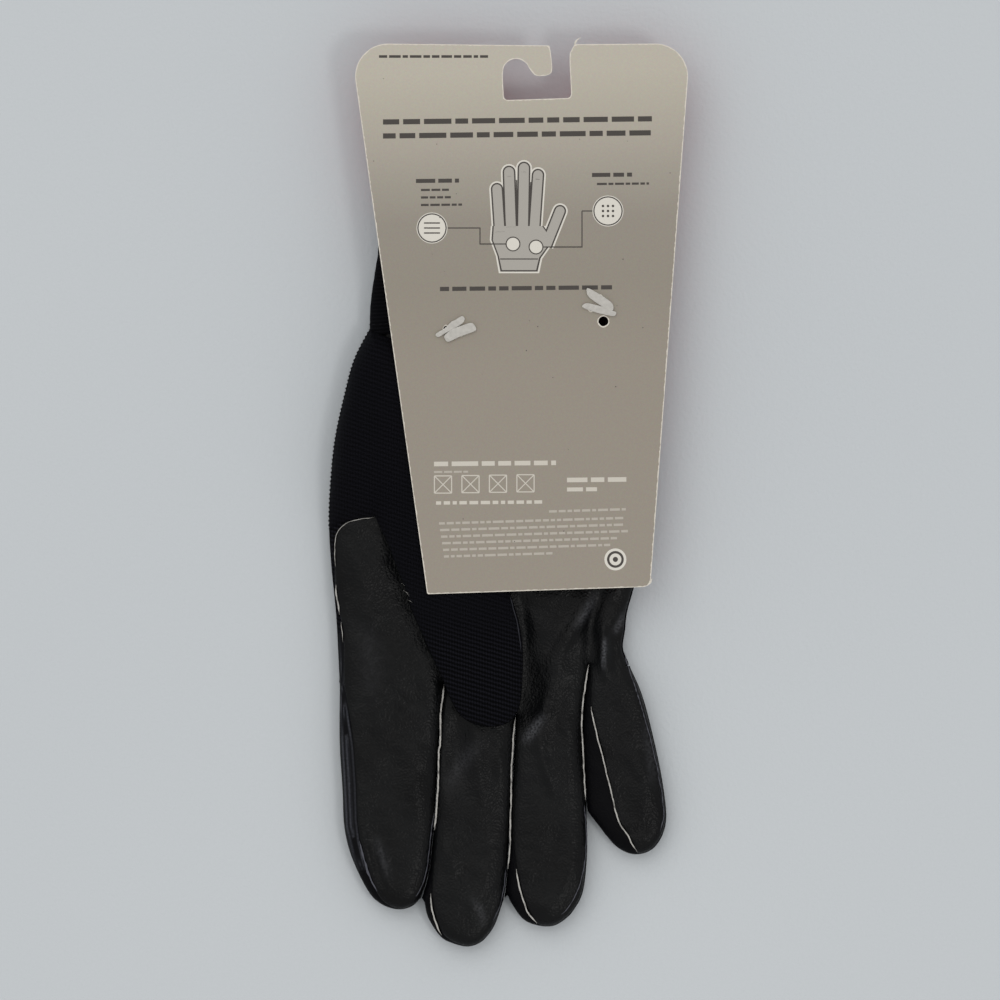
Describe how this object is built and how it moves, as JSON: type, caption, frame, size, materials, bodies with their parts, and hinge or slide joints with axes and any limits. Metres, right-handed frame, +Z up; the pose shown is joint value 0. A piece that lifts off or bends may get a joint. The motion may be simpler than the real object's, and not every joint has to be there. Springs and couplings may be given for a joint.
{
  "type": "batting glove",
  "caption": "Right-hand batting glove lying palm up with its thumb folded over the palm, its wrist closure shut and a cardboard hang card pinned over the wrist.",
  "frame": {"origin": "middle of the base of the whole part's box, on the surface that the back of the hand lies on", "axes": "+X across the palm from the index finger to the little finger, +Y from the fingertips to the wrist, +Z up out of the palm"},
  "size_m": [0.1154, 0.2892, 0.0187],
  "materials": {
    "leather": "soft matt black leather",
    "knit": "ribbed stretch knit",
    "elastic": "woven elastic",
    "patch": "smooth moulded rubber",
    "hook_and_loop": "hook and loop tape",
    "card": "coated card with white cut edges",
    "nylon": "translucent nylon"
  },
  "bodies": {
    "hand": {"palm_leather": "leather", "heel_wedge": "leather", "back_knit": "knit", "index_side_panel": "knit", "little_side_panel": "knit", "back_patch": "patch", "cuff_palm_band": "elastic", "cuff_back_band": "elastic", "cuff_binding": "elastic", "loop_pad": "hook_and_loop", "thumb_base_knit": "knit", "thumb_base_leather": "leather", "thumb_base_crotch_gusset": "knit", "thumb_base_wrist_gusset": "leather"},
    "index": {"index_palm_leather": "leather", "index_back_knit": "knit", "index_inner_gusset": "leather", "index_outer_gusset": "leather", "index_tip_cap": "leather"},
    "middle": {"middle_palm_leather": "leather", "middle_back_knit": "knit", "middle_inner_gusset": "leather", "middle_outer_gusset": "leather", "middle_tip_cap": "leather"},
    "ring": {"ring_palm_leather": "leather", "ring_back_knit": "knit", "ring_inner_gusset": "leather", "ring_outer_gusset": "leather", "ring_tip_cap": "leather"},
    "little": {"little_palm_leather": "leather", "little_back_knit": "knit", "little_inner_gusset": "leather", "little_outer_gusset": "leather", "little_tip_cap": "leather"},
    "thumb_tip": {"thumb_tip_knit": "knit", "thumb_tip_leather": "leather", "thumb_tip_crotch_gusset": "knit", "thumb_tip_wrist_gusset": "leather"},
    "closure_tab": {"closure_tab": "patch", "hook_pad": "hook_and_loop"},
    "hang_card": {"hang_card": "card", "tag_pin_1": "nylon", "tag_pin_2": "nylon", "tag_pin_3": "nylon", "tag_pin_4": "nylon"}
  },
  "joints": [
    {"name": "index_flex", "type": "hinge", "parent": "hand", "child": "index", "pos_m": [-0.0376, -0.066, 0.00965], "axis": [-0.9998, 0.0175, 0], "range_deg": [0, 90]},
    {"name": "middle_flex", "type": "hinge", "parent": "hand", "child": "middle", "pos_m": [-0.00921, -0.07698, 0.00965], "axis": [-0.9982, 0.0593, 0], "range_deg": [0, 90]},
    {"name": "ring_flex", "type": "hinge", "parent": "hand", "child": "ring", "pos_m": [0.01464, -0.07197, 0.00965], "axis": [-1, 0, 0], "range_deg": [0, 90]},
    {"name": "little_flex", "type": "hinge", "parent": "hand", "child": "little", "pos_m": [0.03451, -0.06099, 0.00965], "axis": [-0.9914, -0.1305, 0], "range_deg": [0, 90]},
    {"name": "thumb_tip_lift", "type": "hinge", "parent": "hand", "child": "thumb_tip", "pos_m": [-0.0123, -0.04081, 0.01685], "axis": [-0.9369, -0.3497, 0], "range_deg": [0, 90]},
    {"name": "closure_tab_open", "type": "hinge", "parent": "hand", "child": "closure_tab", "pos_m": [0.033, 0.0709, 0.00095], "axis": [0, -1, 0], "range_deg": [0, 180]},
    {"name": "card_lift", "type": "slide", "parent": "hand", "child": "hang_card", "axis": [0, 0, 1], "range_m": [0, 0.0018]}
  ]
}
